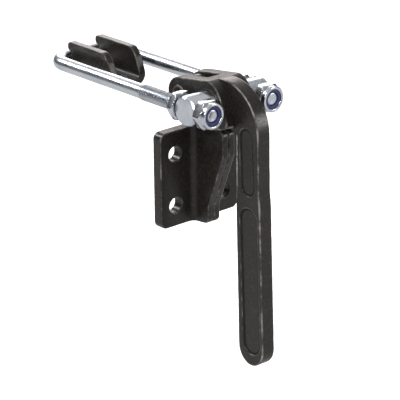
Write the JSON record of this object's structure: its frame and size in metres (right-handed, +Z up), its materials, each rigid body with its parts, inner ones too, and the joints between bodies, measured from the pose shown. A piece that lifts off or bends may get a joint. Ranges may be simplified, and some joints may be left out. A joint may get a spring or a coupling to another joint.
{
  "type": "U-bolt latch clamp",
  "caption": "Heavy pull-action latch clamp: forged handle on a bolted base, cross bar, adjustable threaded U-bolt with lock nuts, and a hooked catch plate.",
  "frame": {"origin": "on the wall face that the base is bolted to, at the centre of its four bolt holes", "axes": "+X out of the wall, +Y across the clamp, +Z up; the closed handle hangs down and the U-bolt points to -X"},
  "size_m": [0.1825, 0.068, 0.1802],
  "materials": {
    "black_forging": "satin black coat over forged steel, fine grain, worn edges",
    "zinc_plate": "bright bluish zinc plate, glossy",
    "blue_nylon": "dark blue nylon, satin"
  },
  "bodies": {
    "base": {"base_bracket_left": "black_forging", "base_bracket_right": "black_forging", "pivot_rivet": "black_forging"},
    "handle": {"handle": "black_forging"},
    "cross_bar": {"cross_bar": "zinc_plate"},
    "u_bolt": {"u_bolt": "zinc_plate"},
    "catch_plate": {"catch_plate": "black_forging"},
    "hex_nut_left": {"hex_nut_left": "zinc_plate"},
    "hex_nut_right": {"hex_nut_right": "zinc_plate"},
    "lock_nut_left": {"lock_nut_left": "zinc_plate", "nylon_ring_left": "blue_nylon"},
    "lock_nut_right": {"lock_nut_right": "zinc_plate", "nylon_ring_right": "blue_nylon"}
  },
  "joints": [
    {"name": "handle_pivot", "type": "hinge", "parent": "base", "child": "handle", "pos_m": [0.0037, 0, 0.0534], "axis": [0, -1, 0], "range_deg": [0, 65]},
    {"name": "cross_bar_turn", "type": "hinge", "parent": "handle", "child": "cross_bar", "pos_m": [0.0296, 0, 0.052], "axis": [0, -1, 0], "range_deg": [-52, 0]},
    {"name": "lock_nut_left_spin", "type": "hinge", "parent": "cross_bar", "child": "lock_nut_left", "pos_m": [0.0296, -0.0242, 0.052], "axis": [-1, 0, 0], "range_deg": [0, 2880]},
    {"name": "lock_nut_right_spin", "type": "hinge", "parent": "cross_bar", "child": "lock_nut_right", "pos_m": [0.0296, 0.0242, 0.052], "axis": [-1, 0, 0], "range_deg": [0, 2880]},
    {"name": "hex_nut_left_spin", "type": "hinge", "parent": "cross_bar", "child": "hex_nut_left", "pos_m": [0.0296, -0.0242, 0.052], "axis": [-1, 0, 0], "range_deg": [0, 2880]},
    {"name": "hex_nut_right_spin", "type": "hinge", "parent": "cross_bar", "child": "hex_nut_right", "pos_m": [0.0296, 0.0242, 0.052], "axis": [-1, 0, 0], "range_deg": [0, 2880]},
    {"name": "u_bolt_adjust", "type": "slide", "parent": "cross_bar", "child": "u_bolt", "axis": [1, 0, 0], "range_m": [0, 0.012]},
    {"name": "catch_draw", "type": "slide", "parent": "base", "child": "catch_plate", "axis": [1, 0, 0], "range_m": [0, 0.012]}
  ],
  "couplings": [
    {"joint": "cross_bar_turn", "follows": "handle_pivot", "ratio": -0.8},
    {"joint": "lock_nut_left_spin", "follows": "u_bolt_adjust", "rad_per_m": 4188.8},
    {"joint": "lock_nut_right_spin", "follows": "u_bolt_adjust", "rad_per_m": 4188.8},
    {"joint": "hex_nut_left_spin", "follows": "u_bolt_adjust", "rad_per_m": 4188.8},
    {"joint": "hex_nut_right_spin", "follows": "u_bolt_adjust", "rad_per_m": 4188.8},
    {"joint": "catch_draw", "follows": "u_bolt_adjust", "ratio": 1}
  ]
}
